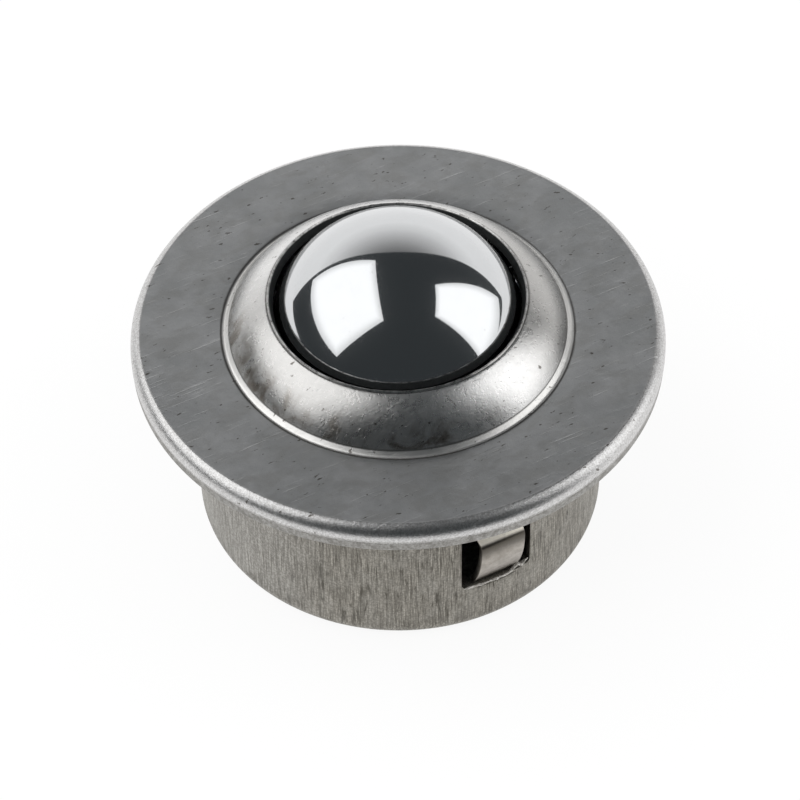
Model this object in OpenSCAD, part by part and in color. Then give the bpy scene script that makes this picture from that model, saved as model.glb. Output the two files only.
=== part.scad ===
// Ball transfer unit: a steel ball that rolls freely on a bed of small support balls,
// held in a pressed cup with a round flange that rests on the face around a hole.
// Origin: on the unit's axis, in the plane of the flange's underside. +Z points to the load.

/* [Load ball] */
// Diameter of the load ball
ball_d = 15; // [14.6:0.1:15.4]
// Height of the ball's centre above the flange's underside
ball_z = 1; // [0.8:0.1:1.3]
// Gap between the load ball and the edge of the cap's hole
ball_gap = 0.2; // [0.15:0.05:0.3]

/* [Support balls] */
// Diameter of the load ball over the diameter of a support ball
support_ratio = 5; // [4.9:0.1:5.1]
// Running gap of a support ball against the load ball, and against the pan
race_gap = 0.03; // [0.02:0.01:0.05]
// Running gap between neighbouring support balls
support_gap = 0.02; // [0.01:0.01:0.05]
// Gap between the top row of support balls and the cap
cap_gap = 0.05; // [0.03:0.01:0.1]
// Angle that each row of support balls is turned against the row below it
row_angle = 17; // [0:1:40]

/* [Pan] */
// Thickness of the pan's wall
pan_wall = 0.64; // [0.5:0.02:1]
// Gap between the pan's rim and the wall of the body
pan_fit = 0.05; // [0.03:0.01:0.1]
// Gap between the pan's rim and the underside of the cap
pan_end_gap = 0.05; // [0.03:0.01:0.1]
// Diameter of the foot that stands on the floor of the body
foot_d = 9; // [7:0.5:10]
// Height of that foot under the round of the pan
foot_h = 1.15; // [0.6:0.05:2]

/* [Body] */
// Thickness of the body's sheet
body_t = 0.75; // [0.6:0.05:1]
// Outer radius of the corner between wall and floor
floor_corner_r = 1.15; // [1:0.05:2]
// Radius of the bend under the flange
flange_bend_r = 0.4; // [0.3:0.05:0.8]
// Rounding on the rim of the body's flange
body_edge_r = 0.2; // [0.1:0.05:0.3]

/* [Cap] */
// Thickness of the cap's flange
cap_t = 1; // [0.9:0.05:1.3]
// Width of the flange outside the wall of the body
flange_w = 3.5; // [2.5:0.1:5]
// Overhang of the cap's rim past the rim of the body's flange
rim_step = 0.04; // [0.02:0.02:0.4]
// Rounding on the upper edge of the cap's rim
rim_r = 0.8; // [0.5:0.05:0.85]
// Rounding on the lower edge of the cap's rim
rim_under_r = 0.08; // [0.05:0.01:0.1]
// Thickness of the dome's sheet
dome_t = 0.55; // [0.5:0.01:0.58]
// Height of the dome above the flange
dome_h = 2.6; // [2.3:0.1:2.8]
// Radius of the dome's bulge
dome_bulge_r = 5.55; // [5:0.05:7]
// Distance from the support balls' centres out to the foot of the dome
dome_over = 0.86; // [0.8:0.02:0.9]
// Width of the sloping band around the foot of the dome
foot_band_w = 0.25; // [0.15:0.05:0.4]
// Height of that band
foot_band_h = 0.2; // [0.1:0.05:0.3]
// Width of the sloping cut face around the hole
lip_w = 0.48; // [0.3:0.02:0.6]

/* [Spring clip] */
// Number of spring lugs, and of windows in the body
lug_count = 3; // [2:1:6]
// Thickness of the spring steel
clip_t = 0.4; // [0.3:0.05:0.45]
// Gap between the clip's band and the wall of the body
clip_fit = 0.05; // [0.03:0.01:0.1]
// Gap between the clip and the pan above it
clip_pan_gap = 0.1; // [0.05:0.05:0.2]
// Split in the band, where its two ends meet
clip_split = 1; // [0.5:0.1:2]
// Width of each lug
lug_w = 2.8; // [2:0.1:3.5]
// Distance that a lug stands out of the wall at its widest point
lug_proud = 0.68; // [0.5:0.02:0.8]
// Lean of the lug above its bend, from upright
lug_lean = 47; // [42:1:50]
// Height of the band that carries the lugs
band_h = 0.95; // [0.9:0.05:1.5]
// Height of the fold of a lug above the lower edge of the band
lug_rise = 0.5; // [0.4:0.05:0.5]
// Depth of a lug's outer corners in the sheet of the band
lug_inset = 0.04; // [0.02:0.01:0.08]
// Outer radius of the lug's bend
lug_bend_r = 0.6; // [0.5:0.05:0.9]
// Outer radius of the long curve below the bend
lug_sweep_r = 7.2; // [6.5:0.1:8]
// Height of the long curve, from the widest point to the tip
lug_sweep_h = 3.75; // [3:0.05:3.8]

/* [Windows] */
// Gap on each side of a lug in its window
window_side = 0.85; // [0.4:0.05:1.2]
// Gap above a lug where it comes out through the wall
window_top_gap = 0.2; // [0.1:0.05:0.3]
// Gap from the tip of a lug to the sill of its window
sill_gap = 0.05; // [0.05:0.05:0.3]
// Corner radius of the windows
window_corner_r = 0.3; // [0.1:0.05:0.6]

/* [Hidden] */
$fn = 96;
eps = 0.01;

ball_r = ball_d / 2;
support_r = ball_r / support_ratio;
centre_r = ball_r + race_gap + support_r;

// pan, body and flange, each taken from what it holds
pan_in = centre_r + support_r + race_gap;
pan_out = pan_in + pan_wall;
body_in = pan_out + pan_fit;
body_r = body_in + body_t;
floor_z = ball_z - pan_out - foot_h;
base_z = floor_z - body_t;
cap_r = body_r + flange_w;
flange_r = cap_r - rim_step;
mouth_r = flange_bend_r + body_t;
top_z = body_t + cap_t;

// dome: an arc from the foot up to the crest, around one centre
clear_r = ball_r + ball_gap;
crest_z = top_z + dome_h;
crest = [sqrt(pow(clear_r, 2) - pow(crest_z - ball_z, 2)) + lip_w, crest_z];
dome_foot_r = centre_r + dome_over;
chord = [crest[0] - dome_foot_r, dome_h];
chord_l = norm(chord);
chord_off = sqrt(pow(dome_bulge_r, 2) - pow(chord_l / 2, 2));
dome_c = [
    dome_foot_r + chord[0] / 2 - chord_off * chord[1] / chord_l,
    top_z + chord[1] / 2 + chord_off * chord[0] / chord_l
];

// inner edge of the cap, which the top row of support balls just clears
edge_r = dome_c[0] + sqrt(pow(dome_bulge_r - dome_t, 2) - pow(body_t - dome_c[1], 2));
edge_l = norm([edge_r, ball_z - body_t]);
clear_a = acos((pow(centre_r, 2) + pow(edge_l, 2) - pow(support_r + cap_gap, 2)) / (2 * centre_r * edge_l));
top_a = atan2(edge_r, ball_z - body_t) - clear_a;

// support balls: as many rows as fit up to there, each as full as it can be
half_a = asin((support_r + support_gap / 2) / centre_r);
row_count = floor(top_a / (2 * half_a));
row_a = top_a / row_count;
function in_row(k) = k == 0 ? 1 : floor(180 / asin(sin(half_a) / sin(k * row_a)));
seats = [
    for (k = [0:row_count]) for (j = [0:in_row(k) - 1])
        [k * row_a, j * 360 / in_row(k) + k * row_angle]
];
ball_names = [for (i = [1:len(seats)]) str("support_ball_", i < 10 ? "0" : "", i)];

// top of the sloping band, just inside the face of the dome
foot_band_r = dome_c[0] + sqrt(pow(dome_bulge_r, 2) - pow(top_z + foot_band_h - dome_c[1], 2)) - eps;
foot_band_root = foot_band_r + (dome_foot_r + foot_band_w - foot_band_r) * (1 + cap_t / 4 / foot_band_h);

// spring clip: the band stands under the pan, and its lugs fold out of it
band_out = body_in - clip_fit;
lug_root = sqrt(pow(band_out, 2) - pow(lug_w / 2, 2)) - lug_inset;
function under_pan(r) = ball_z - sqrt(pow(pan_out, 2) - pow(r - clip_pan_gap, 2));
band_top = under_pan(band_out - clip_t);
band_bottom = band_top - band_h;
lug_top = under_pan(lug_root - clip_t);

// one lug, seen from its side: a fold, a straight lean, a bend at its widest point, a long curve
fold_z = band_bottom + lug_rise;
bend_x = body_r + lug_proud - lug_bend_r;
lean_l = (bend_x + lug_bend_r * cos(lug_lean) - lug_root) / sin(lug_lean);
bend_c = [bend_x, fold_z - lean_l * cos(lug_lean) - lug_bend_r * sin(lug_lean)];
apex = bend_c + [lug_bend_r, 0];
sweep_c = apex - [lug_sweep_r, 0];
sweep_a = asin(lug_sweep_h / lug_sweep_r);

// windows: as wide and as high as their lugs need
window_w = lug_w + 2 * window_side;
window_top = fold_z - (body_in - lug_root) / tan(lug_lean) + window_top_gap;
sill_z = apex[1] - lug_sweep_h - sill_gap;

// Rectangle from one corner to the opposite one
module span(a, b) {
    translate(a) square(b - a);
}

// Disc at a point of the section
module disc(at, r) {
    translate(at) circle(r);
}

// Full turn of a section that is cut off at the axis
module turned() {
    rotate_extrude() intersection() {
        children();
        span([0, base_z - 1], [cap_r + 1, crest_z + 1]);
    }
}

// Rectangle with round corners
module soft_rect(w, h, r) {
    span([-w / 2 + r, 0], [w / 2 - r, h]);
    span([-w / 2, r], [w / 2, h - r]);
    for (x = [-w / 2 + r, w / 2 - r], y = [r, h - r]) disc([x, y], r);
}

// Outer section of the drawn cup, without its flange
module cup_outside() {
    span([0, base_z + floor_corner_r], [body_r, body_t]);
    span([0, base_z], [body_r - floor_corner_r, base_z + floor_corner_r]);
    disc([body_r - floor_corner_r, base_z + floor_corner_r], floor_corner_r);
}

// Flange of the cup with its rounded rim, and the bend under it
module cup_flange() {
    span([0, 0], [flange_r - body_edge_r, body_t]);
    span([0, body_edge_r], [flange_r, body_t - body_edge_r]);
    for (z = [body_edge_r, body_t - body_edge_r]) disc([flange_r - body_edge_r, z], body_edge_r);
    difference() {
        span([body_r - eps, -flange_bend_r], [body_r + flange_bend_r, eps]);
        disc([body_r + flange_bend_r, -flange_bend_r], flange_bend_r);
    }
}

// Inside of the cup, with the round mouth between wall and flange
module cup_inside() {
    r = max(floor_corner_r - body_t, 0.2);
    span([0, floor_z + r], [body_in, body_t + 1]);
    span([0, floor_z], [body_in - r, floor_z + r]);
    disc([body_in - r, floor_z + r], r);
    difference() {
        span([body_in - eps, body_t - mouth_r], [body_in + mouth_r, body_t + 1]);
        disc([body_in + mouth_r, body_t - mouth_r], mouth_r);
    }
}

// Windows in the wall, one in front of each lug
module windows() {
    for (i = [0:lug_count - 1]) rotate(i * 360 / lug_count)
        translate([0, -body_in + 1, sill_z]) rotate([90, 0, 0])
            linear_extrude(body_t + 2)
                soft_rect(window_w, window_top - sill_z, window_corner_r);
}

module body() {
    color("#8f8d88") difference() {
        turned() difference() {
            union() {
                cup_outside();
                cup_flange();
            }
            cup_inside();
        }
        windows();
    }
}

// Flat ring of the cap with its rounded rim
module cap_flange() {
    span([0, body_t], [cap_r - rim_r, top_z]);
    span([0, body_t], [cap_r - rim_under_r, top_z - rim_r]);
    span([0, body_t + rim_under_r], [cap_r, top_z - rim_r]);
    disc([cap_r - rim_under_r, body_t + rim_under_r], rim_under_r);
    intersection() {
        disc([cap_r - rim_r, top_z - rim_r], rim_r);
        span([0, top_z - rim_r], [cap_r, top_z]);
    }
}

// The sheet is cut off square to its face at the crest, and cleared for the load ball
module cap() {
    color("#a3a4a5") turned() difference() {
        union() {
            cap_flange();
            intersection() {
                disc(dome_c, dome_bulge_r);
                span([0, top_z - cap_t / 2], [dome_c[0] + dome_bulge_r, crest_z + dome_t]);
            }
            polygon([
                [foot_band_r - dome_t / 2, top_z + foot_band_h],
                [foot_band_r - dome_t / 2, top_z - cap_t / 4],
                [foot_band_root, top_z - cap_t / 4],
                [foot_band_r, top_z + foot_band_h]
            ]);
        }
        disc(dome_c, dome_bulge_r - dome_t);
        polygon([dome_c, 2 * crest - dome_c, [0, 2 * crest_z], [0, dome_c[1]]]);
        disc([0, ball_z], clear_r);
    }
}

module pan() {
    color("#77797c") turned() difference() {
        intersection() {
            union() {
                disc([0, ball_z], pan_out);
                span([0, floor_z], [foot_d / 2, ball_z]);
            }
            span([0, floor_z], [pan_out, body_t - pan_end_gap]);
        }
        disc([0, ball_z], pan_in);
    }
}

// Ring as thick as the spring steel
module strip_ring(at, r) {
    difference() {
        disc(at, r);
        disc(at, r - clip_t);
    }
}

// Straight lean of a lug and the bend at its end, in the section's plane
module lug_lean_and_bend() {
    intersection() {
        translate(bend_c) rotate(lug_lean) span([lug_bend_r - clip_t, 0], [lug_bend_r, lean_l + 2 * clip_t]);
        span([lug_root - clip_t, apex[1]], [apex[0], lug_top]);
    }
    intersection() {
        strip_ring(bend_c, lug_bend_r);
        span(bend_c, [apex[0] + 1, apex[1] + 1]);
        translate(bend_c) rotate(lug_lean) span([0, -1], [1, 0]);
    }
}

// One lug, from the band out through its window and back in again
module lug() {
    rotate([90, 0, 90]) linear_extrude(lug_w, center = true) {
        span([lug_root - clip_t, fold_z - clip_t / 4], [lug_root, lug_top]);
        lug_lean_and_bend();
        intersection() {
            strip_ring(sweep_c, lug_sweep_r);
            polygon([
                sweep_c,
                sweep_c + 2 * lug_sweep_r * [1, 0],
                sweep_c + 2 * lug_sweep_r * [cos(sweep_a), -sin(sweep_a)]
            ]);
        }
    }
}

// Band with a split, halfway between two lugs
module clip_band() {
    difference() {
        rotate_extrude() span([band_out - clip_t, band_bottom], [band_out, band_top]);
        rotate(180 / lug_count) translate([-clip_split / 2, -body_r, base_z])
            cube([clip_split, body_r, -base_z]);
    }
}

module spring_clip() {
    color("#b9b6af") {
        clip_band();
        for (i = [0:lug_count - 1]) rotate(180 + i * 360 / lug_count) lug();
    }
}

module load_ball() {
    color("#d5d7da") translate([0, 0, ball_z]) sphere(ball_r);
}

// Support ball number i on its seat in the pan
module support_ball(i) {
    color("#c4c6c9") translate([0, 0, ball_z]) rotate([0, -seats[i][0], seats[i][1]])
        translate([0, 0, -centre_r]) sphere(support_r, $fn = 48);
}

body();
cap();
pan();
spring_clip();
load_ball();
for (i = [0:len(seats) - 1]) support_ball(i);
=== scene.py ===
import math

import bmesh
import bpy
from mathutils import Matrix, Vector, noise


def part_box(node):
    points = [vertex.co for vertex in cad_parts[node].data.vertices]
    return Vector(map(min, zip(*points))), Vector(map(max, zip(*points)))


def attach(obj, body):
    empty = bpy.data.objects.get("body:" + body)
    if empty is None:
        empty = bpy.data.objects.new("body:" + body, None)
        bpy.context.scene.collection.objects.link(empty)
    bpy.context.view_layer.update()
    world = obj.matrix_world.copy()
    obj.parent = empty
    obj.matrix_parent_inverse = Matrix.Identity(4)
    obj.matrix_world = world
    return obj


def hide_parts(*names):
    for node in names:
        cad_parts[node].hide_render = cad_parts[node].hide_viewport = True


mm = 0.001  # the part's sizes are in millimetres, and are made metres where a mesh is built

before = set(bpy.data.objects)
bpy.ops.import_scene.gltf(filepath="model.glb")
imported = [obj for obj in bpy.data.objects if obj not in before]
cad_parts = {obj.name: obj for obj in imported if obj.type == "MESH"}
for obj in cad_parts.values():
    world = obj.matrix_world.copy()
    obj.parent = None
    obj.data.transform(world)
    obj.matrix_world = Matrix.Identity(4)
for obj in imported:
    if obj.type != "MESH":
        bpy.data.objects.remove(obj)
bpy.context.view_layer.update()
print("frame loaded:", len(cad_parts), "nodes")


# small tools

def nodeBox(name):
    low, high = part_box(name)
    return low / mm, high / mm


def arc(centre, radius, start, end, steps):
    # points of the section on an arc, angles in degrees up from level
    points = []
    for i in range(steps + 1):
        angle = math.radians(start + (end - start) * i / steps)
        points.append((centre[0] + radius * math.cos(angle), centre[1] + radius * math.sin(angle)))
    return points


def spin(name, outline, closed, turns):
    # full turn of an outline of (radius, height) points around the upright axis
    bm = bmesh.new()
    verts = [bm.verts.new((r * mm, 0, z * mm)) for r, z in outline]
    pairs = list(zip(verts, verts[1:]))
    if closed:
        pairs.append((verts[-1], verts[0]))
    edges = [bm.edges.new(pair) for pair in pairs]
    bmesh.ops.spin(bm, geom=verts + edges, cent=(0, 0, 0), axis=(0, 0, 1), dvec=(0, 0, 0),
                   angle=2 * math.pi, steps=turns, use_merge=True, use_duplicate=False)
    bmesh.ops.remove_doubles(bm, verts=bm.verts, dist=1e-7)
    bmesh.ops.recalc_face_normals(bm, faces=bm.faces)
    return makeObject(name, bm)


def makeObject(name, bm):
    mesh = bpy.data.meshes.new(name)
    bm.to_mesh(mesh)
    bm.free()
    thing = bpy.data.objects.new(name, mesh)
    bpy.context.scene.collection.objects.link(thing)
    return thing


def smooth(thing, sharpAbove):
    thing.data.shade_smooth()
    thing.data.set_sharp_from_angle(angle=math.radians(sharpAbove))


def applyModifiers(thing):
    graph = bpy.context.evaluated_depsgraph_get()
    mesh = bpy.data.meshes.new_from_object(thing.evaluated_get(graph))
    thing.modifiers.clear()
    thing.data = mesh


def breakEdges(thing, width, sharpAbove):
    soften = thing.modifiers.new("edgeBreak", "BEVEL")
    soften.width = width * mm
    soften.segments = 2
    soften.limit_method = "ANGLE"
    soften.angle_limit = math.radians(sharpAbove)
    applyModifiers(thing)


def dress(thing, material, body, nodes):
    thing.data.materials.clear()
    thing.data.materials.append(material)
    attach(thing, body)
    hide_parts(*nodes)


def addNode(tree, kind, inputs=None, **settings):
    node = tree.nodes.new(kind)
    for key, value in settings.items():
        setattr(node, key, value)
    for key, value in (inputs or {}).items():
        if isinstance(value, bpy.types.NodeSocket):
            tree.links.new(value, node.inputs[key])
        else:
            node.inputs[key].default_value = value
    return node


def calc(tree, operation, *values, clamp=False):
    inputs = dict(enumerate(values))
    return addNode(tree, "ShaderNodeMath", inputs, operation=operation, use_clamp=clamp).outputs[0]


def ramp(tree, value, low, high, atLow=0.0, atHigh=1.0):
    # a soft step from one value to another
    inputs = {"Value": value, "From Min": low, "From Max": high, "To Min": atLow, "To Max": atHigh}
    return addNode(tree, "ShaderNodeMapRange", inputs, interpolation_type="SMOOTHSTEP").outputs["Result"]


def band(tree, value, centre, halfWidth):
    # 1 on a centre value, fading to 0 at the half width on each side
    return ramp(tree, calc(tree, "ABSOLUTE", calc(tree, "SUBTRACT", value, centre)), halfWidth, 0.0)


def blend(tree, factor, a, b):
    inputs = {0: factor, 6: a, 7: b}
    return addNode(tree, "ShaderNodeMix", inputs, data_type="RGBA").outputs[2]


def mixValue(tree, factor, a, b):
    return addNode(tree, "ShaderNodeMix", {0: factor, 2: a, 3: b}, data_type="FLOAT").outputs[0]


def place(tree, turn=(0, 0, 0), scale=(1, 1, 1)):
    # object coordinates in millimetres, turned and stretched
    coords = addNode(tree, "ShaderNodeTexCoord").outputs["Object"]
    degrees = [math.radians(a) for a in turn]
    sizes = [s / mm for s in scale]
    return addNode(tree, "ShaderNodeMapping", {"Vector": coords, "Rotation": degrees, "Scale": sizes},
                   vector_type="POINT").outputs["Vector"]


def grain(tree, vector, scale, detail=4.0, rough=0.55, distortion=0.0):
    inputs = {"Vector": vector, "Scale": scale, "Detail": detail, "Roughness": rough, "Distortion": distortion}
    return addNode(tree, "ShaderNodeTexNoise", inputs).outputs["Fac"]


def radiusAndHeight(tree):
    parts = addNode(tree, "ShaderNodeSeparateXYZ", {0: place(tree)})
    flat = addNode(tree, "ShaderNodeCombineXYZ", {0: parts.outputs[0], 1: parts.outputs[1], 2: 0.0})
    length = addNode(tree, "ShaderNodeVectorMath", {0: flat.outputs[0]}, operation="LENGTH").outputs["Value"]
    outward = addNode(tree, "ShaderNodeVectorMath", {0: flat.outputs[0]}, operation="NORMALIZE").outputs[0]
    return length, parts.outputs[2], outward


def newMaterial(name):
    material = bpy.data.materials.new(name)
    material.use_nodes = True
    tree = material.node_tree
    shader = tree.nodes["Principled BSDF"]
    return material, tree, shader


def emptyMaterial(name):
    material = bpy.data.materials.new(name)
    material.use_nodes = True
    material.node_tree.nodes.clear()
    return material, material.node_tree


def plug(tree, value, socket):
    tree.links.new(value, socket)


def bumpFrom(tree, height, distance, strength, normal=None):
    inputs = {"Height": height, "Distance": distance * mm, "Strength": strength}
    if normal is not None:
        inputs["Normal"] = normal
    return addNode(tree, "ShaderNodeBump", inputs).outputs["Normal"]


# cap: flange with a rounded rim, and a dome around the ball

capSizes = {
    "domeCentre": (4.849, -0.572),
    "domeRadius": 5.55,
    "domeSheet": 0.55,
    "flangeSheet": 1.0,
    "crest": (7.413, 4.35),
    "crestRound": 0.02,
    "cutRings": (0.25, 0.5, 0.7, 0.82, 0.92),  # rings across the cut edge, as shares of the sheet
    # the turned-up edge around the hole and the dip behind it, as (degrees back, height)
    "crestEdge": [(0.3, 0.040), (0.6, 0.048), (0.95, 0.030), (1.2, -0.015), (1.5, -0.035),
                  (1.85, -0.025), (2.2, -0.008)],
    "crestEdgeEnd": 2.5,     # degrees back to where the dome is plain again
    "rimRound": 0.836,
    "rimStart": 70,          # the rim's round starts at a faint corner, not tangent to the flange
    "rimLip": 0.11,          # how far the rim's skin is pressed down over the flange below
    "lipSheet": 0.035,
    "lipProfile": [(0, 0.02), (0.015, 0), (0.035, 0.01)],  # as (in from the rim, up from the lip's edge)
    "flangeRings": (11.4, 12.4, 13.4, 14.2, 14.6, 14.88),
    "underRings": (14.0, 12.0, 10.6),
    # the small band and dip around the foot of the dome, as (radius, height above the flange)
    "footBand": [(9.785, 0.185), (9.80, 0.165), (9.86, 0.112), (9.93, 0.048), (10.00, -0.015), (10.06, -0.058),
                 (10.11, -0.072), (10.17, -0.058), (10.23, -0.030), (10.29, -0.010), (10.36, 0.0)],
    "footStep": 0.01,        # how far above the band the dome's arc ends
    "burr": 0.035,           # roughness of the cut edge around the hole
    "burrReach": 0.16,
    "burrGrain": 2600,
    "turns": 360,
    "sharpAbove": 38,
    "stainAt": 193,          # where the dome is stained, degrees around the upright axis
}


def makeCap():
    s = capSizes
    low, high = nodeBox("cap")
    rim, under = high.x, low.z
    top = under + s["flangeSheet"]
    centre, outer = s["domeCentre"], s["domeRadius"]
    inner = outer - s["domeSheet"]
    crestAngle = math.degrees(math.atan2(s["crest"][1] - centre[1], s["crest"][0] - centre[0]))
    footAngle = math.degrees(math.asin((top + s["footBand"][0][1] + s["footStep"] - centre[1]) / outer))
    baseAngle = math.degrees(math.asin((under - centre[1]) / inner))
    roundTurn = math.degrees(s["crestRound"] / outer)
    nearCut = (centre[0] + outer * math.cos(math.radians(crestAngle - roundTurn)),
               centre[1] + outer * math.sin(math.radians(crestAngle - roundTurn)))
    along = Vector((math.cos(math.radians(crestAngle)), math.sin(math.radians(crestAngle))))

    rimCentre = (rim - s["rimRound"], top - s["rimRound"] * math.sin(math.radians(s["rimStart"])))
    outline = arc(centre, inner, baseAngle, crestAngle, 24)
    outline += [tuple(Vector(centre) + along * (inner + (outer - inner) * t)) for t in s["cutRings"]]
    outline += [nearCut]
    for back, proud in s["crestEdge"]:
        outline += arc(centre, outer + proud, crestAngle - back, crestAngle, 1)[:1]
    outline += arc(centre, outer, crestAngle - s["crestEdgeEnd"], footAngle, 40)
    outline += [(r, top + z) for r, z in s["footBand"]]
    outline += [(r, top) for r in s["flangeRings"]]
    outline += arc(rimCentre, s["rimRound"], s["rimStart"], 0, 16)
    lip = under - s["rimLip"]
    outline += [(rim, under)] + [(rim - inward, lip + up) for inward, up in s["lipProfile"]]
    outline += [(rim - s["lipSheet"], under)] + [(r, under) for r in s["underRings"]]
    cap = spin("capShell", outline, True, s["turns"])

    for v in cap.data.vertices:  # torn edge around the hole
        r = math.hypot(v.co.x, v.co.y) / mm
        z = v.co.z / mm
        near = max(0.0, 1.0 - math.hypot(r - s["crest"][0], z - s["crest"][1]) / s["burrReach"])
        if near > 0.0:
            shift = noise.noise(Vector((v.co.x, v.co.y, 0)) * s["burrGrain"]) * s["burr"] * near
            v.co.z += min(shift, 0.0) * mm
            v.co.x *= 1 + shift / r
            v.co.y *= 1 + shift / r
    smooth(cap, s["sharpAbove"])
    return cap


def around(tree, outward, degrees, low, high):
    # 1 on one side of the upright axis, fading away from it
    side = Vector((math.cos(math.radians(degrees)), math.sin(math.radians(degrees)), 0))
    facing = addNode(tree, "ShaderNodeVectorMath", {0: outward, 1: side}, operation="DOT_PRODUCT").outputs["Value"]
    return ramp(tree, facing, low, high)


capZones = {
    # where a finish starts, as (none yet, all of it): radii, or heights where the name says above or below
    "dome": (9.83, 9.76),
    "bandStart": (9.74, 9.80),
    "bandEnd": (10.20, 10.12),
    "rim": (14.86, 14.98),
    "cutFace": (7.42, 7.36),
    "cutFaceAbove": (3.6, 3.7),
    "stain": (8.5, 9.5),
    "crest": (7.52, 7.50),
    "crestAbove": (4.1, 4.16),
    "edgeBelow": (0.82, 0.75),
    # thin rings, as (radius, half width)
    "hairline": (9.785, 0.04),
    "dip": (7.55, 0.05),
    "crease": 10.24,
}

capColours = {
    "flangeDark": (0.455, 0.465, 0.47, 1),
    "flangeLight": (0.545, 0.552, 0.558, 1),
    "flangePatch": (0.40, 0.40, 0.39, 1),
    "domeDark": (0.72, 0.71, 0.70, 1),
    "domeLight": (0.87, 0.865, 0.855, 1),
    "domeSideShade": (0.50, 0.49, 0.475, 1),
    "stain": (0.30, 0.27, 0.24, 1),
    "band": (0.78, 0.77, 0.75, 1),
    "rimDark": (0.52, 0.512, 0.505, 1),
    "rimLight": (0.74, 0.735, 0.73, 1),
    "edgeDark": (0.30, 0.292, 0.28, 1),
    "edgeLight": (0.50, 0.49, 0.475, 1),
    "crestDark": (0.36, 0.35, 0.34, 1),
    "crestLight": (0.88, 0.87, 0.85, 1),
    "dip": (0.07, 0.068, 0.065, 1),
    "scratch": (0.85, 0.85, 0.84, 1),
    "speck": (0.10, 0.088, 0.075, 1),
    "crease": (0.06, 0.055, 0.05, 1),
    "hairline": (0.10, 0.095, 0.09, 1),
    "cutFace": (0.055, 0.058, 0.058, 1),
}


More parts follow.
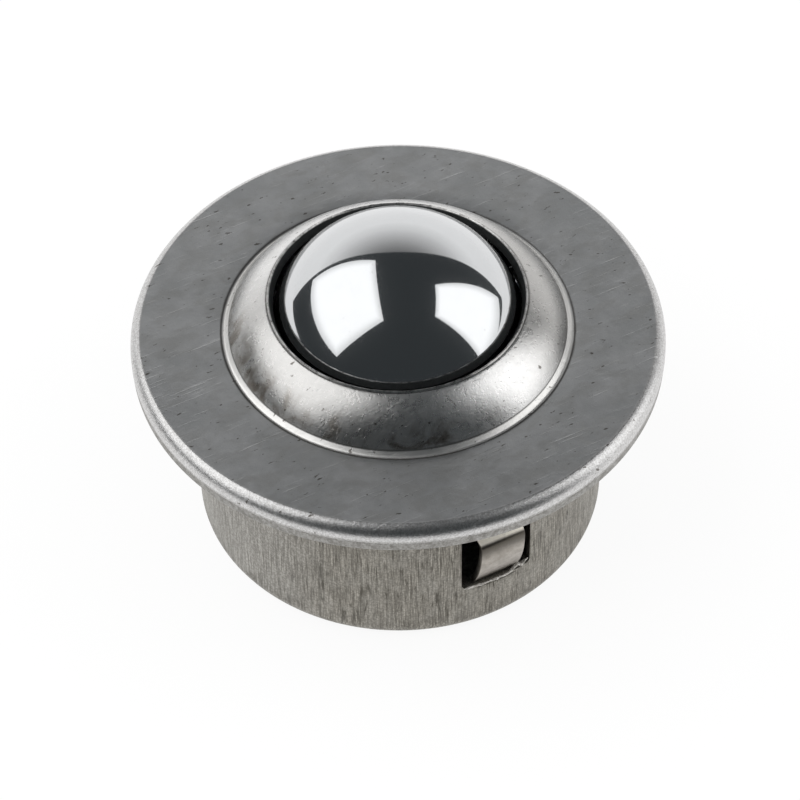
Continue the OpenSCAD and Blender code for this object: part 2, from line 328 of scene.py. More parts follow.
def capSteel():
    material, tree, shader = newMaterial("capSteel")
    s, c = capZones, capColours
    r, z, outward = radiusAndHeight(tree)
    onDome = ramp(tree, r, *s["dome"])
    onBand = calc(tree, "MULTIPLY", ramp(tree, r, *s["bandStart"]), ramp(tree, r, *s["bandEnd"]))
    onRim = ramp(tree, r, *s["rim"])
    cloud = grain(tree, place(tree), 0.32, 6, 0.62)
    patch = grain(tree, place(tree, (0, 0, 35), (0.5, 0.9, 0.6)), 1.0, 5, 0.6, 0.6)
    fine = grain(tree, place(tree), 2.4, 6, 0.7)
    peel = grain(tree, place(tree), 9.0, 3, 0.6)
    speck = ramp(tree, grain(tree, place(tree, (0, 0, 40), (1, 2.2, 1)), 1.9, 3, 0.5), 0.675, 0.72)
    scratchA = ramp(tree, grain(tree, place(tree, (0, 0, 24), (0.22, 7, 3)), 1.0, 3, 0.6), 0.63, 0.72)
    scratchB = ramp(tree, grain(tree, place(tree, (0, 0, -48), (0.3, 9, 3)), 1.0, 3, 0.6), 0.64, 0.74)
    wipe = grain(tree, addNode(tree, "ShaderNodeVectorMath", {0: outward, 1: (26, 26, 26)},
                               operation="MULTIPLY").outputs[0], 1.0, 3, 0.6)
    spread = mixValue(tree, grain(tree, place(tree), 0.55, 4, 0.65), 0.0, 0.26)
    crease = ramp(tree, calc(tree, "ABSOLUTE", calc(tree, "SUBTRACT", r, s["crease"])), spread, 0.0)
    hairline = band(tree, r, *s["hairline"])
    cutFace = calc(tree, "MULTIPLY", ramp(tree, r, *s["cutFace"]), ramp(tree, z, *s["cutFaceAbove"]))
    stain = calc(tree, "MULTIPLY", ramp(tree, r, *s["stain"]), ramp(tree, patch, 0.44, 0.66))

    flange = blend(tree, ramp(tree, cloud, 0.35, 0.65), c["flangeDark"], c["flangeLight"])
    flange = blend(tree, ramp(tree, patch, 0.42, 0.66, 0.0, 0.5), flange, c["flangePatch"])
    leftSide = around(tree, outward, capSizes["stainAt"], 0.42, 0.90)
    browned = around(tree, outward, capSizes["stainAt"] + 42, 0.62, 0.97)
    # painted shade: the dome's left and right sides, where the lamps reflect, are turned greyer to tone down those
    # reflections
    sidesPaintedShade = calc(tree, "MAXIMUM", calc(tree, "MULTIPLY", leftSide, 0.7),
                  around(tree, outward, capSizes["stainAt"] + 152, 0.55, 1.0))
    dome = blend(tree, wipe, c["domeDark"], c["domeLight"])
    dome = blend(tree, sidesPaintedShade, dome, c["domeSideShade"])
    dome = blend(tree, calc(tree, "MULTIPLY", stain, calc(tree, "MAXIMUM", leftSide, browned)), dome, c["stain"])
    colour = blend(tree, onDome, flange, dome)
    colour = blend(tree, onBand, colour, c["band"])
    rimSteel = blend(tree, ramp(tree, peel, 0.34, 0.66), c["rimDark"], c["rimLight"])
    colour = blend(tree, onRim, colour, rimSteel)
    nearCrest = ramp(tree, z, *s["crestAbove"])
    crest = calc(tree, "MULTIPLY", ramp(tree, r, *s["crest"]), nearCrest)
    edgeSteel = blend(tree, ramp(tree, peel, 0.38, 0.62), c["edgeDark"], c["edgeLight"])
    colour = blend(tree, ramp(tree, z, *s["edgeBelow"], 0.0, 0.8), colour, edgeSteel)
    colour = blend(tree, crest, colour, blend(tree, ramp(tree, fine, 0.3, 0.7), c["crestDark"], c["crestLight"]))
    dip = calc(tree, "MULTIPLY", band(tree, r, *s["dip"]), nearCrest)
    colour = blend(tree, calc(tree, "MULTIPLY", dip, ramp(tree, cloud, 0.3, 0.6, 0.4, 0.9)), colour, c["dip"])
    scratches = calc(tree, "MAXIMUM", scratchA, scratchB)
    for mark, amount, shade in ((scratches, 0.30, "scratch"), (speck, 0.8, "speck"), (crease, 0.85, "crease"),
                                (hairline, 0.65, "hairline")):
        colour = blend(tree, calc(tree, "MULTIPLY", mark, amount), colour, c[shade])
    colour = blend(tree, cutFace, colour, c["cutFace"])
    plug(tree, colour, shader.inputs["Base Color"])
    shader.inputs["Metallic"].default_value = 1.0

    rough = mixValue(tree, onDome, 0.33, 0.29)
    rough = mixValue(tree, onBand, rough, 0.38)
    rough = mixValue(tree, onRim, rough, 0.36)
    rough = calc(tree, "ADD", rough, calc(tree, "MULTIPLY", calc(tree, "SUBTRACT", fine, 0.5), 0.22))
    rough = calc(tree, "ADD", rough, calc(tree, "MULTIPLY", calc(tree, "MAXIMUM", crease, cutFace), 0.25), clamp=True)
    plug(tree, rough, shader.inputs["Roughness"])

    peeling = calc(tree, "MULTIPLY", peel, calc(tree, "ADD", onRim, calc(tree, "MULTIPLY", onDome, 0.8)))
    normal = bumpFrom(tree, fine, 0.02, 0.35)
    normal = bumpFrom(tree, peeling, 0.018, 0.8, normal)
    normal = bumpFrom(tree, scratches, 0.012, 0.4, normal)
    normal = bumpFrom(tree, cloud, 0.08, 0.3, normal)
    plug(tree, normal, shader.inputs["Normal"])
    return material


# body: the drawn cup with its flange and windows

bodySizes = {
    "wallRadius": 12.0,
    "sheet": 0.75,
    "floorRound": 1.15,
    "flangeBend": 0.4,
    "edgeRound": 0.12,
    "windowWidth": 4.5,
    "windowTop": -2.725,
    "windowSill": -8.319,
    "windowCorner": 0.3,
    "windowCount": 3,
    "windowCut": 4,          # depth of the cutter
    "floorRings": (0, 5, 8),
    "wallRings": (-9.5, -8.0, -6.5, -5.0, -3.5, -2.0, -1.0),
    "underRings": (13.2, 14.3),
    "topRings": (14.0, 13.2),
    "turns": 288,
    "edgeBreak": 0.045,
    "breakAbove": 50,
    "sharpAbove": 40,
    "paintedLitSide": 170,        # where the wall is painted lighter, on the side facing the left softbox, degrees around the upright axis
}


def makeBody():
    s = bodySizes
    low, high = nodeBox("body")
    wall, sheet = s["wallRadius"], s["sheet"]
    inside = wall - sheet
    base, floor = low.z, low.z + sheet
    edge = s["edgeRound"]
    corner = s["floorRound"]
    bend, mouth = s["flangeBend"], s["flangeBend"] + sheet
    flange, top = high.x, high.z
    outline = [(r, base) for r in s["floorRings"]]
    outline += arc((wall - corner, base + corner), corner, -90, 0, 12)
    outline += [(wall, z) for z in s["wallRings"]]
    outline += arc((wall + bend, -bend), bend, 180, 90, 8)
    outline += [(r, 0) for r in s["underRings"]]
    outline += arc((flange - edge, edge), edge, -90, 0, 5)
    outline += arc((flange - edge, top - edge), edge, 0, 90, 5)
    outline += [(r, top) for r in s["topRings"]]
    outline += arc((inside + mouth, top - mouth), mouth, 90, 180, 10)
    outline += [(inside, z) for z in reversed(s["wallRings"])]
    outline += arc((inside - corner + sheet, floor + corner - sheet), corner - sheet, 0, -90, 6)
    outline += [(r, floor) for r in reversed(s["floorRings"])]
    cup = spin("cup", outline, False, s["turns"])

    for i in range(s["windowCount"]):
        cutter = windowCutter(i * 360 / s["windowCount"])
        cut = cup.modifiers.new("window", "BOOLEAN")
        cut.operation = "DIFFERENCE"
        cut.solver = "EXACT"
        cut.object = cutter
        applyModifiers(cup)
        bpy.data.objects.remove(cutter)
    breakEdges(cup, s["edgeBreak"], s["breakAbove"])
    smooth(cup, s["sharpAbove"])
    return cup


def windowCutter(turn):
    s = bodySizes
    bm = bmesh.new()
    bmesh.ops.create_cube(bm, size=1.0)
    tall = s["windowTop"] - s["windowSill"]
    bmesh.ops.scale(bm, vec=(s["windowWidth"] * mm, s["windowCut"] * mm, tall * mm), verts=bm.verts)
    bmesh.ops.translate(bm, vec=(0, -s["wallRadius"] * mm, (s["windowSill"] + tall / 2) * mm), verts=bm.verts)
    across = [e for e in bm.edges if abs(e.verts[0].co.y - e.verts[1].co.y) > mm]
    bmesh.ops.bevel(bm, geom=across, offset=s["windowCorner"] * mm, segments=5, profile=0.5,
                    affect="EDGES", material=-1)
    bmesh.ops.rotate(bm, cent=(0, 0, 0), matrix=Matrix.Rotation(math.radians(turn), 3, "Z"), verts=bm.verts)
    return makeObject("windowCutter", bm)


bodyColours = {
    "wallDark": (0.10, 0.092, 0.076, 1),
    "wallLight": (0.47, 0.445, 0.395, 1),
    "mottle": (0.40, 0.385, 0.35, 1),
    "smear": (0.065, 0.059, 0.047, 1),
    "paintedLitSideDark": (0.28, 0.27, 0.245, 1),
    "paintedLitSideLight": (0.58, 0.565, 0.535, 1),
    "scuff": (0.075, 0.07, 0.058, 1),
    "dirt": (0.13, 0.12, 0.105, 1),
    "speckle": (0.12, 0.112, 0.095, 1),
    "plainDark": (0.25, 0.243, 0.228, 1),
    "plainLight": (0.46, 0.452, 0.435, 1),
    "plainSpeckle": (0.20, 0.19, 0.17, 1),
    "sill": (0.05, 0.045, 0.035, 1),
}


def bodySteel():
    material, tree, shader = newMaterial("bodySteel")
    c = bodyColours
    r, z, outward = radiusAndHeight(tree)
    onWall = calc(tree, "MULTIPLY", ramp(tree, r, 12.5, 12.2), ramp(tree, r, 10.9, 11.6))
    drawn = grain(tree, place(tree, (0, 0, 0), (11, 11, 0.33)), 1.0, 6, 0.75)      # long upright streaks
    drawnFine = grain(tree, place(tree, (0, 0, 0), (26, 26, 0.8)), 1.0, 4, 0.7)
    mottle = grain(tree, place(tree, (0, 0, 0), (0.8, 0.8, 0.6)), 1.0, 6, 0.68)
    smear = grain(tree, place(tree, (0, 0, 0), (3.2, 3.2, 0.55)), 1.0, 5, 0.6)
    scuff = ramp(tree, grain(tree, place(tree, (14, 38, 52), (0.6, 11, 2.2)), 1.0, 3, 0.6), 0.54, 0.62)
    fine = grain(tree, place(tree), 3.0, 5, 0.7)
    scuffHere = calc(tree, "MULTIPLY", ramp(tree, z, -5.5, -3.0),
                     around(tree, outward, bodySizes["paintedLitSide"] + 70, 0.965, 0.985))
    lowDirt = calc(tree, "MULTIPLY", band(tree, z, -10.9, 0.8),
                   ramp(tree, grain(tree, place(tree), 1.4, 5, 0.7), 0.42, 0.7))

    streak = ramp(tree, calc(tree, "ADD", calc(tree, "MULTIPLY", drawn, 0.5), calc(tree, "MULTIPLY", drawnFine, 0.5)),
                  0.40, 0.60)
    worn = blend(tree, streak, c["wallDark"], c["wallLight"])
    worn = blend(tree, ramp(tree, mottle, 0.42, 0.62, 0, 0.45), worn, c["mottle"])
    worn = blend(tree, ramp(tree, smear, 0.58, 0.68, 0, 0.85), worn, c["smear"])
    # painted light: on the side facing the left softbox, the wall turns to a lighter copy of its colours
    paintedLitSide = around(tree, outward, bodySizes["paintedLitSide"], 0.55, 0.95)
    worn = blend(tree, calc(tree, "MULTIPLY", paintedLitSide, 0.75), worn,
                 blend(tree, streak, c["paintedLitSideDark"], c["paintedLitSideLight"]))
    worn = blend(tree, calc(tree, "MULTIPLY", calc(tree, "MULTIPLY", scuff, scuffHere), 0.75), worn, c["scuff"])
    worn = blend(tree, calc(tree, "MULTIPLY", lowDirt, 0.7), worn, c["dirt"])
    speckle = grain(tree, place(tree), 7.0, 3, 0.7)
    worn = blend(tree, ramp(tree, speckle, 0.42, 0.58, 0.45, 0.0), worn, c["speckle"])
    plain = blend(tree, ramp(tree, fine, 0.34, 0.64), c["plainDark"], c["plainLight"])
    plain = blend(tree, ramp(tree, speckle, 0.40, 0.62, 0.4, 0.0), plain, c["plainSpeckle"])
    colour = blend(tree, onWall, plain, worn)

    # dark line under the sill of each window
    angle = calc(tree, "ARCTAN2", *[addNode(tree, "ShaderNodeSeparateXYZ", {0: outward}).outputs[i] for i in (0, 1)])
    part = calc(tree, "PINGPONG", calc(tree, "ADD", angle, math.pi), math.pi / 3)
    sill = calc(tree, "MULTIPLY", ramp(tree, part, 0.115, 0.09), band(tree, z, bodySizes["windowSill"] - 0.17, 0.11))
    colour = blend(tree, calc(tree, "MULTIPLY", sill, 0.85), colour, c["sill"])
    plug(tree, colour, shader.inputs["Base Color"])
    shader.inputs["Metallic"].default_value = 1.0
    rough = mixValue(tree, drawn, 0.60, 0.36)
    plug(tree, mixValue(tree, onWall, 0.42, rough), shader.inputs["Roughness"])
    normal = bumpFrom(tree, drawnFine, 0.02, 0.7)
    normal = bumpFrom(tree, drawn, 0.05, 0.45, normal)
    normal = bumpFrom(tree, mottle, 0.10, 0.3, normal)
    plug(tree, bumpFrom(tree, fine, 0.014, 0.35, normal), shader.inputs["Normal"])
    return material


# spring clip: a split band with three lugs

clipSizes = {
    "bandRadius": 11.2,
    "bandTop": -2.309,
    "bandBottom": -3.259,
    "sheet": 0.4,
    "split": 1.0,
    "lugWidth": 2.8,
    "lugRoot": 11.072,
    "lugTop": -2.70,
    "fold": -2.80,
    "lean": 47,
    "bendCentre": (12.13, -4.55),
    "bendRadius": 0.55,
    "sweepRadius": 7.2,
    "sweepHeight": 3.73,
    "lugCount": 3,
    "bandSteps": 180,
    "edgeBreak": 0.04,
    "breakAbove": 60,
    "sharpAbove": 35,
}


def makeClip():
    s = clipSizes
    bm = bmesh.new()
    halfSplit = math.degrees(s["split"] / 2 / s["bandRadius"])
    for i in range(s["lugCount"]):
        addLug(bm, 180 + i * 360 / s["lugCount"])
    band = bmesh.new()
    r, t = s["bandRadius"], s["sheet"]
    corners = [(r, s["bandTop"]), (r, s["bandBottom"]), (r - t, s["bandBottom"]), (r - t, s["bandTop"])]
    verts = [band.verts.new((x * mm, 0, z * mm)) for x, z in corners]
    face = band.faces.new(verts)
    bmesh.ops.rotate(band, cent=(0, 0, 0), matrix=Matrix.Rotation(math.radians(90 + halfSplit), 3, "Z"),
                     verts=band.verts)
    bmesh.ops.spin(band, geom=[face] + list(face.edges) + verts, cent=(0, 0, 0), axis=(0, 0, 1), dvec=(0, 0, 0),
                   angle=math.radians(360 - 2 * halfSplit), steps=s["bandSteps"], use_merge=False,
                   use_duplicate=True)
    bmesh.ops.recalc_face_normals(band, faces=band.faces)
    bandMesh = bpy.data.meshes.new("clipBand")
    band.to_mesh(bandMesh)
    band.free()
    bm.from_mesh(bandMesh)
    bpy.data.meshes.remove(bandMesh)
    clip = makeObject("clip", bm)
    breakEdges(clip, s["edgeBreak"], s["breakAbove"])
    smooth(clip, s["sharpAbove"])
    return clip


def addLug(bm, turn):
    # the lug's side face as one outline, pushed out to its width
    s = clipSizes
    t = s["sheet"]
    lean = s["lean"]
    bendX, bendZ = s["bendCentre"]
    sweep = (bendX + s["bendRadius"] - s["sweepRadius"], bendZ)
    tipAngle = math.degrees(math.asin(s["sweepHeight"] / s["sweepRadius"]))
    outer = [(s["lugRoot"], s["lugTop"]), (s["lugRoot"], s["fold"])]
    outer += arc((bendX, bendZ), s["bendRadius"], lean, 0, 6)
    outer += arc(sweep, s["sweepRadius"], 0, -tipAngle, 14)[1:]
    foldIn = (s["lugRoot"] - t, s["fold"] - t * math.tan(math.radians(lean / 2)))
    inner = [(s["lugRoot"] - t, s["lugTop"]), foldIn]
    inner += arc((bendX, bendZ), s["bendRadius"] - t, lean, 0, 6)
    inner += arc(sweep, s["sweepRadius"] - t, 0, -tipAngle, 14)[1:]
    half = s["lugWidth"] / 2
    left = [[bm.verts.new((-half * mm, d * mm, z * mm)) for d, z in side] for side in (outer, inner)]
    strips = [bm.faces.new((a, b, c, d)) for a, b, c, d in
              zip(left[0], left[0][1:], left[1][1:], left[1])]
    made = bmesh.ops.extrude_face_region(bm, geom=strips, use_keep_orig=True)["geom"]
    right = [g for g in made if isinstance(g, bmesh.types.BMVert)]
    bmesh.ops.translate(bm, vec=(2 * half * mm, 0, 0), verts=right)
    lugVerts = left[0] + left[1] + right
    lugFaces = {f for v in lugVerts for f in v.link_faces}
    bmesh.ops.recalc_face_normals(bm, faces=list(lugFaces))
    bmesh.ops.rotate(bm, cent=(0, 0, 0), matrix=Matrix.Rotation(math.radians(turn), 3, "Z"), verts=lugVerts)


burrSizes = {
    "radius": 0.10,
    "inset": 0.02,            # middle of the bead, in from the wall's face
    "sink": 0.03,             # and down from the sill
    "start": -10.4,           # ends of the bead, degrees from the middle of the lug
    "end": 10.2,
    "sides": 10,
    "steps": 60,
    "endSize": 0.25,
    "mean": 0.75,
    "fineNoise": (5200, 0.6),     # as (scale, amount)
    "coarseNoise": (1500, 0.35),
    "climbStart": 3.4,        # where it climbs beside the lug, in degrees
    "climbLength": 3.2,
    "climbRise": 0.42,
    "climbSwell": 0.9,
}


def makeSillBurrs():
    # a rough bead of metal pushed up along the sill of each window
    s = burrSizes
    middleRadius = (bodySizes["wallRadius"] - s["inset"]) * mm
    middleHeight = (bodySizes["windowSill"] - s["sink"]) * mm
    apart = 360 / bodySizes["windowCount"]
    bm = bmesh.new()
    for i in range(bodySizes["windowCount"]):
        ring = bmesh.ops.create_circle(bm, cap_ends=False, segments=s["sides"], radius=s["radius"] * mm)["verts"]
        bmesh.ops.rotate(bm, cent=(0, 0, 0), matrix=Matrix.Rotation(math.radians(90), 3, "X"), verts=ring)
        bmesh.ops.translate(bm, vec=(middleRadius, 0, middleHeight), verts=ring)
        first = -90 + s["start"] + i * apart
        bmesh.ops.rotate(bm, cent=(0, 0, 0), matrix=Matrix.Rotation(math.radians(first), 3, "Z"), verts=ring)
        edges = list({e for v in ring for e in v.link_edges})
        bmesh.ops.spin(bm, geom=ring + edges, cent=(0, 0, 0), axis=(0, 0, 1), dvec=(0, 0, 0),
                       angle=math.radians(s["end"] - s["start"]), steps=s["steps"], use_merge=False,
                       use_duplicate=False)
    bmesh.ops.holes_fill(bm, edges=[e for e in bm.edges if e.is_boundary], sides=0)
    middle = (s["start"] + s["end"]) / 2
    half = (s["end"] - s["start"]) / 2
    fineScale, fineAmount = s["fineNoise"]
    coarseScale, coarseAmount = s["coarseNoise"]
    for v in bm.verts:
        turn = (math.degrees(math.atan2(v.co.y, v.co.x)) + 90 + apart / 2) % apart - apart / 2
        taper = max(0.0, 1 - (abs(turn - middle) / half) ** 6) ** 0.5
        rough = (s["mean"] + fineAmount * noise.noise(v.co * fineScale)
                 + coarseAmount * noise.noise(v.co * coarseScale))
        flat = math.hypot(v.co.x, v.co.y)
        climb = max(0.0, min(1.0, (turn - s["climbStart"]) / s["climbLength"]))
        swell = 1 + s["climbSwell"] * climb * (0.6 + noise.noise(v.co * 2600))
        thick = (taper * (1 - s["endSize"]) + s["endSize"]) * rough * swell
        newFlat = middleRadius + (flat - middleRadius) * thick
        v.co.x *= newFlat / flat
        v.co.y *= newFlat / flat
        v.co.z = middleHeight + (v.co.z - middleHeight) * thick
        v.co.z += climb * s["climbRise"] * mm * (0.8 + 0.5 * noise.noise(v.co * 1800))
    bmesh.ops.recalc_face_normals(bm, faces=bm.faces)
    burrs = makeObject("sillBurrs", bm)
    burrs.data.shade_smooth()
    return burrs


def burrSteel():
    material, tree, shader = newMaterial("burrSteel")
    fine = grain(tree, place(tree), 6.0, 4, 0.7)
    plug(tree, blend(tree, ramp(tree, fine, 0.38, 0.62), (0.34, 0.32, 0.29, 1), (0.74, 0.72, 0.68, 1)),
         shader.inputs["Base Color"])
    shader.inputs["Metallic"].default_value = 0.6
    plug(tree, mixValue(tree, fine, 0.60, 0.42), shader.inputs["Roughness"])
    plug(tree, bumpFrom(tree, fine, 0.03, 0.7), shader.inputs["Normal"])
    return material


clipColours = {
    "steelDark": (0.30, 0.275, 0.24, 1),
    "steelLight": (0.46, 0.425, 0.385, 1),
    "slopeHighlightDark": (0.74, 0.70, 0.61, 1),
    "slopeHighlightLight": (0.95, 0.91, 0.82, 1),
    "shadeUnderBend": (0.11, 0.10, 0.085, 1),
    "tip": (0.22, 0.20, 0.17, 1),
    "spot": (0.27, 0.25, 0.22, 1),
    "crease": (0.10, 0.09, 0.075, 1),
}


def springSteel():
    material, tree, shader = newMaterial("springSteel")
    c = clipColours
    z = radiusAndHeight(tree)[1]
    fine = grain(tree, place(tree), 2.2, 5, 0.65)
    rub = grain(tree, place(tree, (0, 0, 0), (4, 4, 0.5)), 1.0, 4, 0.6)
    spot = ramp(tree, grain(tree, place(tree), 1.1, 4, 0.6), 0.56, 0.72)
    crease = band(tree, z, clipSizes["bendCentre"][1] + 0.14, 0.24)
    onSlope = ramp(tree, z, -4.3, -4.1)
    colour = blend(tree, ramp(tree, fine, 0.3, 0.7), c["steelDark"], c["steelLight"])
    # painted highlight: the lug's upper slope is coloured light beige, standing in for the lamps' reflection on it
    colour = blend(tree, onSlope, colour, blend(tree, fine, c["slopeHighlightDark"], c["slopeHighlightLight"]))
    # painted shade: the lug's lower face is darkened just under the bend
    colour = blend(tree, calc(tree, "MULTIPLY", ramp(tree, z, -5.6, -4.5), calc(tree, "SUBTRACT", 0.95, onSlope)),
                   colour, c["shadeUnderBend"])
    colour = blend(tree, ramp(tree, z, -6.4, -7.8, 0.0, 0.45), colour, c["tip"])
    colour = blend(tree, calc(tree, "MULTIPLY", spot, 0.45), colour, c["spot"])
    # painted shade: a dark line along the crease of each lug
    colour = blend(tree, calc(tree, "MULTIPLY", crease, calc(tree, "MULTIPLY", ramp(tree, fine, 0.3, 0.6), 0.75)),
                   colour, c["crease"])
    plug(tree, colour, shader.inputs["Base Color"])
    plug(tree, mixValue(tree, onSlope, 1.0, 0.55), shader.inputs["Metallic"])
    plug(tree, mixValue(tree, onSlope, mixValue(tree, rub, 0.28, 0.44), 0.52), shader.inputs["Roughness"])
    plug(tree, bumpFrom(tree, rub, 0.03, 0.5), shader.inputs["Normal"])
    return material


# balls and pan

ballSizes = {"segments": 192, "rings": 96, "polish": 0.035}


def makeBall():
    low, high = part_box("load_ball")
    bm = bmesh.new()
    radius = (high.z - low.z) / 2
    bmesh.ops.create_uvsphere(bm, u_segments=ballSizes["segments"], v_segments=ballSizes["rings"], radius=radius)
    bmesh.ops.translate(bm, vec=(0, 0, (low.z + high.z) / 2), verts=bm.verts)
    ball = makeObject("ball", bm)
    ball.data.shade_smooth()
    return ball


def polishedSteel(name, steel, polish):
    material, tree, shader = newMaterial(name)
    haze = grain(tree, place(tree), 0.8, 5, 0.6)
    dust = ramp(tree, grain(tree, place(tree), 5.5, 2, 0.5), 0.72, 0.78)
    hair = ramp(tree, grain(tree, place(tree, (20, 65, 30), (0.3, 12, 2)), 1.0, 2, 0.5), 0.70, 0.76)
    tint = blend(tree, haze, steel, [c * 0.94 for c in steel[:3]] + [1])
    colour = blend(tree, calc(tree, "MULTIPLY", dust, 0.4), tint, (0.45, 0.45, 0.46, 1))
    plug(tree, colour, shader.inputs["Base Color"])
    shader.inputs["Metallic"].default_value = 1.0
    marks = calc(tree, "MAXIMUM", calc(tree, "MULTIPLY", dust, 0.20), calc(tree, "MULTIPLY", hair, 0.08))
    rough = calc(tree, "ADD", ramp(tree, haze, 0.3, 0.7, polish * 0.7, polish * 1.5), marks)
    film = ramp(tree, grain(tree, place(tree, (9, 5, 2)), 13.0, 2, 0.6), 0.58, 0.80, 0.0, 0.20)
    plug(tree, calc(tree, "ADD", rough, film), shader.inputs["Roughness"])
    shader.inputs["Coat Weight"].default_value = 0.5      # a thin film of oil and dust
    shader.inputs["Coat Roughness"].default_value = 0.30
    shader.inputs["Coat IOR"].default_value = 1.6
    plug(tree, bumpFrom(tree, hair, 0.002, 0.2), shader.inputs["Normal"])
    return material


def panSteel():
    material, tree, shader = newMaterial("panSteel")
    fine = grain(tree, place(tree), 1.6, 5, 0.65)
    plug(tree, blend(tree, fine, (0.30, 0.30, 0.31, 1), (0.42, 0.42, 0.42, 1)), shader.inputs["Base Color"])
    shader.inputs["Metallic"].default_value = 1.0
    plug(tree, mixValue(tree, fine, 0.35, 0.55), shader.inputs["Roughness"])
    plug(tree, bumpFrom(tree, fine, 0.02, 0.3), shader.inputs["Normal"])
    return material


def finishCadNode(node, material):
    node.data.materials.clear()
    node.data.materials.append(material)


# studio

studio = {
    # in metres
    "turn": -27.5,            # the way the whole studio faces, degrees around the upright axis
    "worldSoft": 0.85,        # how bright the sky is as soft light
    "floorRadius": 0.16,
    "floorDrop": 0.00002,
    "floorPaint": (0.88, 0.88, 0.88, 1),
    "floorGlow": 0.9,
    "darkFloorGlow": 1.6,
    "tentRadius": 1.3,
    "archHeight": 1.45,       # height over distance of the white backdrop's top edge
    "archFall": 0.55,
    "dark": (0.040, 0.045, 0.048, 1),
    "boardFront": 0.040,      # the white board ends this far in front of the middle, for reflections
    "boardLeft": 0.105,
    "lampDistance": 0.5,
    # the backdrop darkens with height, as (height over the tent's radius, shade)
    "fadeStart": (0.24, (1, 1, 1, 1)),
    "fadeEnd": (0.84, (0.16, 0.16, 0.165, 1)),
    "fadeSteps": ((0.435, 0.83), (0.637, 0.52), (0.72, 0.37), (0.786, 0.26)),
}

lamps = {
    # towards: elevation and bearing of the middle; facing: the way its face looks back from
    "leftSoftbox": {"towards": (47.1, -89.6), "facing": (36.0, -96.6), "roll": -4.5,
                    "size": (0.68, 0.58), "glow": 1.42},
    "rightSoftbox": {"towards": (34.6, 94.6), "facing": (3.5, 86.4), "roll": 11.0,
                     "size": (0.36, 0.67), "glow": 1.42},
}

camera = {
    # in millimetres
    "bearing": -27.5,         # degrees from -Y, around the upright axis
    "elevation": 46.76,
    "distance": 220.0,
    "aimZ": 1.75,
    "roll": -0.888,
    "lens": 171.2,
    "shift": (0.0027, -0.0926),
}


def direction(elevation, bearing):
    # bearing is from the far side of the studio, to the right
    e, b = math.radians(elevation), math.radians(bearing)
    flat = Vector((math.cos(e) * math.sin(b), math.cos(e) * math.cos(b), math.sin(e)))
    return Matrix.Rotation(math.radians(studio["turn"]), 3, "Z") @ flat


def softenEdges(light):
    # a softbox is a little dimmer towards its edges
    light.use_nodes = True
    tree = light.node_tree
    spot = addNode(tree, "ShaderNodeSeparateXYZ", {0: addNode(tree, "ShaderNodeNewGeometry").outputs["Parametric"]})
    edges = [calc(tree, "ABSOLUTE", calc(tree, "SUBTRACT", spot.outputs[i], 0.5)) for i in (0, 1)]
    strength = ramp(tree, calc(tree, "MAXIMUM", *edges), 0.5, 0.36, 0.72, 1.04)
    plug(tree, strength, tree.nodes["Emission"].inputs["Strength"])


def makeLamps():
    for name, s in lamps.items():
        light = bpy.data.lights.new(name, "AREA")
        light.shape = "RECTANGLE"
        light.size, light.size_y = s["size"]
        light.energy = s["glow"] * math.pi * s["size"][0] * s["size"][1]
        softenEdges(light)
        lamp = bpy.data.objects.new(name, light)
        bpy.context.scene.collection.objects.link(lamp)
        back = direction(*s["facing"])  # a lamp shines down its own -Z
        side = Vector((0, 0, 1)).cross(back).normalized()
        up = back.cross(side)
        turned = Matrix((side, up, back)).transposed().to_4x4()
        lamp.matrix_world = (Matrix.Translation(direction(*s["towards"]) * studio["lampDistance"]) @ turned
                             @ Matrix.Rotation(math.radians(s["roll"]), 4, "Z"))


def rayMix(tree):
    # 1 for what the camera, a reflection or a clear material sees, 0 for soft light
    path = addNode(tree, "ShaderNodeLightPath")
    seen = calc(tree, "ADD", path.outputs["Is Camera Ray"], path.outputs["Is Glossy Ray"])
    return calc(tree, "ADD", seen, path.outputs["Is Transmission Ray"], clamp=True)


def makeWorld():
    world = bpy.data.worlds.new("studio")
    bpy.context.scene.world = world
    world.use_nodes = True
    tree = world.node_tree
    background = tree.nodes["Background"]
    background.inputs["Color"].default_value = (1, 1, 1, 1)
    plug(tree, mixValue(tree, rayMix(tree), studio["worldSoft"], 1.0), background.inputs["Strength"])


def makeFloor():
    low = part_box("body")[0]
    bm = bmesh.new()
    bmesh.ops.create_circle(bm, cap_ends=True, segments=128, radius=studio["floorRadius"])
    bmesh.ops.translate(bm, vec=(0, 0, low.z - studio["floorDrop"]), verts=bm.verts)
    floor = makeObject("floor", bm)
    material, tree = emptyMaterial("floorPale")
    x, y = studioAxes(tree)[:2]
    front = studio["boardFront"]
    across = calc(tree, "MAXIMUM", ramp(tree, x, -studio["boardLeft"] - 0.01, -studio["boardLeft"] + 0.01),
                  ramp(tree, y, 0.0, 0.02))
    board = calc(tree, "MULTIPLY", ramp(tree, y, -front - 0.006, -front + 0.006), across)
    path = addNode(tree, "ShaderNodeLightPath")
    dark = calc(tree, "MULTIPLY", path.outputs["Is Glossy Ray"], calc(tree, "SUBTRACT", 1.0, board))
    paint = addNode(tree, "ShaderNodeBsdfDiffuse", {"Color": studio["floorPaint"]})
    glow = addNode(tree, "ShaderNodeEmission", {"Color": (1, 1, 1, 1), "Strength": 1.0})
    glowing = calc(tree, "MULTIPLY", rayMix(tree), studio["floorGlow"])
    both = addNode(tree, "ShaderNodeMixShader", {0: glowing, 1: paint.outputs[0], 2: glow.outputs[0]})
    edge = addNode(tree, "ShaderNodeEmission", {"Color": studio["dark"], "Strength": studio["darkFloorGlow"]})
    whole = addNode(tree, "ShaderNodeMixShader", {0: dark, 1: both.outputs[0], 2: edge.outputs[0]})
    out = addNode(tree, "ShaderNodeOutputMaterial")
    plug(tree, whole.outputs[0], out.inputs["Surface"])
    floor.data.materials.append(material)


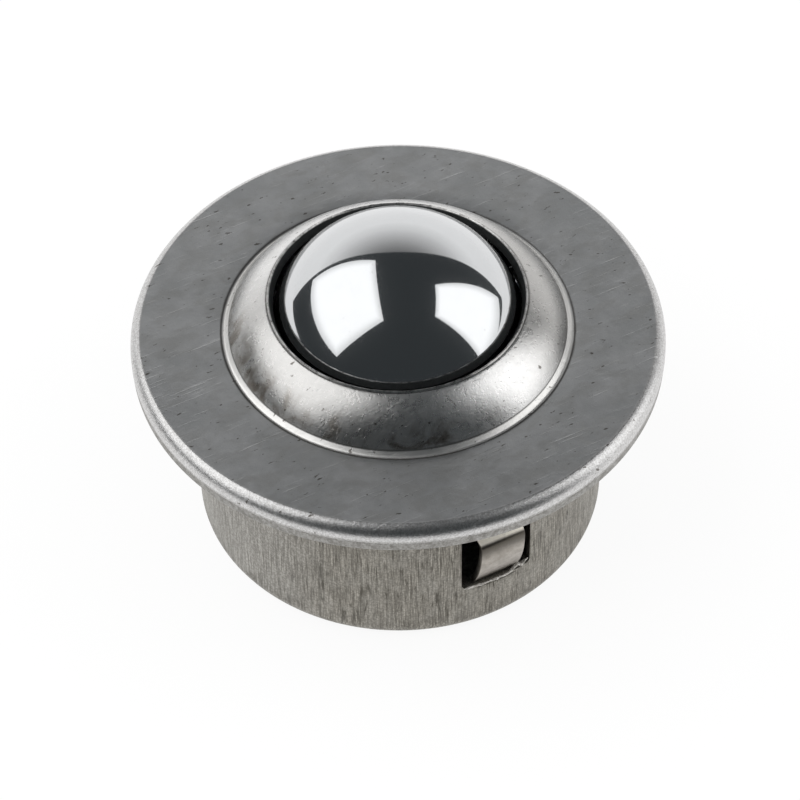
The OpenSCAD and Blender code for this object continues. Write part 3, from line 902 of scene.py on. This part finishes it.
def studioAxes(tree):
    # to the right, to the back and up, as the studio faces
    coords = addNode(tree, "ShaderNodeTexCoord").outputs["Object"]
    turned = addNode(tree, "ShaderNodeVectorRotate", {"Vector": coords, "Angle": -math.radians(studio["turn"])},
                     rotation_type="Z_AXIS")
    return addNode(tree, "ShaderNodeSeparateXYZ", {0: turned.outputs[0]}).outputs


def makeTent():
    # a dark room all around, open to the white backdrop on the far side; the camera looks through it
    bm = bmesh.new()
    bmesh.ops.create_uvsphere(bm, u_segments=64, v_segments=32, radius=studio["tentRadius"])
    tent = makeObject("darkTent", bm)
    material, tree = emptyMaterial("tentCloth")
    size = studio["tentRadius"]
    x, y, z = [calc(tree, "DIVIDE", part, size) for part in studioAxes(tree)]
    ahead = calc(tree, "MAXIMUM", y, 0.02)
    across = calc(tree, "DIVIDE", x, ahead)
    height = calc(tree, "DIVIDE", z, ahead)
    edge = calc(tree, "SUBTRACT", studio["archHeight"],
                calc(tree, "MULTIPLY", studio["archFall"], calc(tree, "MULTIPLY", across, across)))
    opening = ramp(tree, calc(tree, "SUBTRACT", edge, height), -0.03, 0.05)
    opening = calc(tree, "MULTIPLY", opening, ramp(tree, y, 0.02, 0.06))
    fade = addNode(tree, "ShaderNodeValToRGB", {0: z})
    stops = fade.color_ramp.elements
    stops[0].position, stops[1].position = studio["fadeStart"][0], studio["fadeEnd"][0]
    stops[0].color, stops[1].color = studio["fadeStart"][1], studio["fadeEnd"][1]
    for position, shade in studio["fadeSteps"]:
        stops.new(position).color = (shade, shade, shade, 1)
    clear = addNode(tree, "ShaderNodeBsdfTransparent", {"Color": fade.outputs[0]})
    dark = addNode(tree, "ShaderNodeEmission", {"Color": studio["dark"], "Strength": 1.0})
    both = addNode(tree, "ShaderNodeMixShader", {0: opening, 1: dark.outputs[0], 2: clear.outputs[0]})
    out = addNode(tree, "ShaderNodeOutputMaterial")
    plug(tree, both.outputs[0], out.inputs["Surface"])
    tent.data.materials.append(material)
    tent.data.shade_smooth()
    tent.visible_camera = False
    tent.visible_diffuse = False


def makeCamera():
    s = camera
    data = bpy.data.cameras.new("camera")
    data.sensor_width = 36.0
    data.lens = s["lens"]
    data.shift_x, data.shift_y = s["shift"]
    data.clip_start = 0.01
    data.clip_end = 10.0
    eye = bpy.data.objects.new("camera", data)
    bpy.context.scene.collection.objects.link(eye)
    e, b = math.radians(s["elevation"]), math.radians(s["bearing"])
    back = Vector((math.cos(e) * math.sin(b), -math.cos(e) * math.cos(b), math.sin(e)))
    side = Vector((0, 0, 1)).cross(back).normalized()
    turned = Matrix((side, back.cross(side), back)).transposed().to_4x4()
    aim = Vector((0, 0, s["aimZ"])) * mm
    eye.matrix_world = (Matrix.Translation(aim + back * s["distance"] * mm) @ turned
                        @ Matrix.Rotation(math.radians(s["roll"]), 4, "Z"))
    bpy.context.scene.camera = eye


# build

cap = makeCap()
dress(cap, capSteel(), "housing", ["cap"])
print("cap:", len(cap.data.polygons), "faces")

cup = makeBody()
dress(cup, bodySteel(), "housing", ["body"])
print("cup:", len(cup.data.polygons), "faces")

clip = makeClip()
dress(clip, springSteel(), "housing", ["spring_clip"])
burrs = makeSillBurrs()
burrs.data.materials.append(burrSteel())
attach(burrs, "housing")
print("clip and burrs:", len(clip.data.polygons), len(burrs.data.polygons), "faces")

ball = makeBall()
dress(ball, polishedSteel("ballSteel", (0.66, 0.67, 0.68, 1), ballSizes["polish"]), "load_ball", ["load_ball"])
smallBallSteel = polishedSteel("smallBallSteel", (0.60, 0.61, 0.62, 1), 0.08)
finishCadNode(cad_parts["pan"], panSteel())
for name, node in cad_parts.items():
    if name.startswith("support_ball"):
        finishCadNode(node, smallBallSteel)
print("balls and pan finished")

makeWorld()
makeLamps()
makeFloor()
makeTent()
makeCamera()
bpy.context.scene.view_settings.view_transform = "Standard"
print("studio ready")
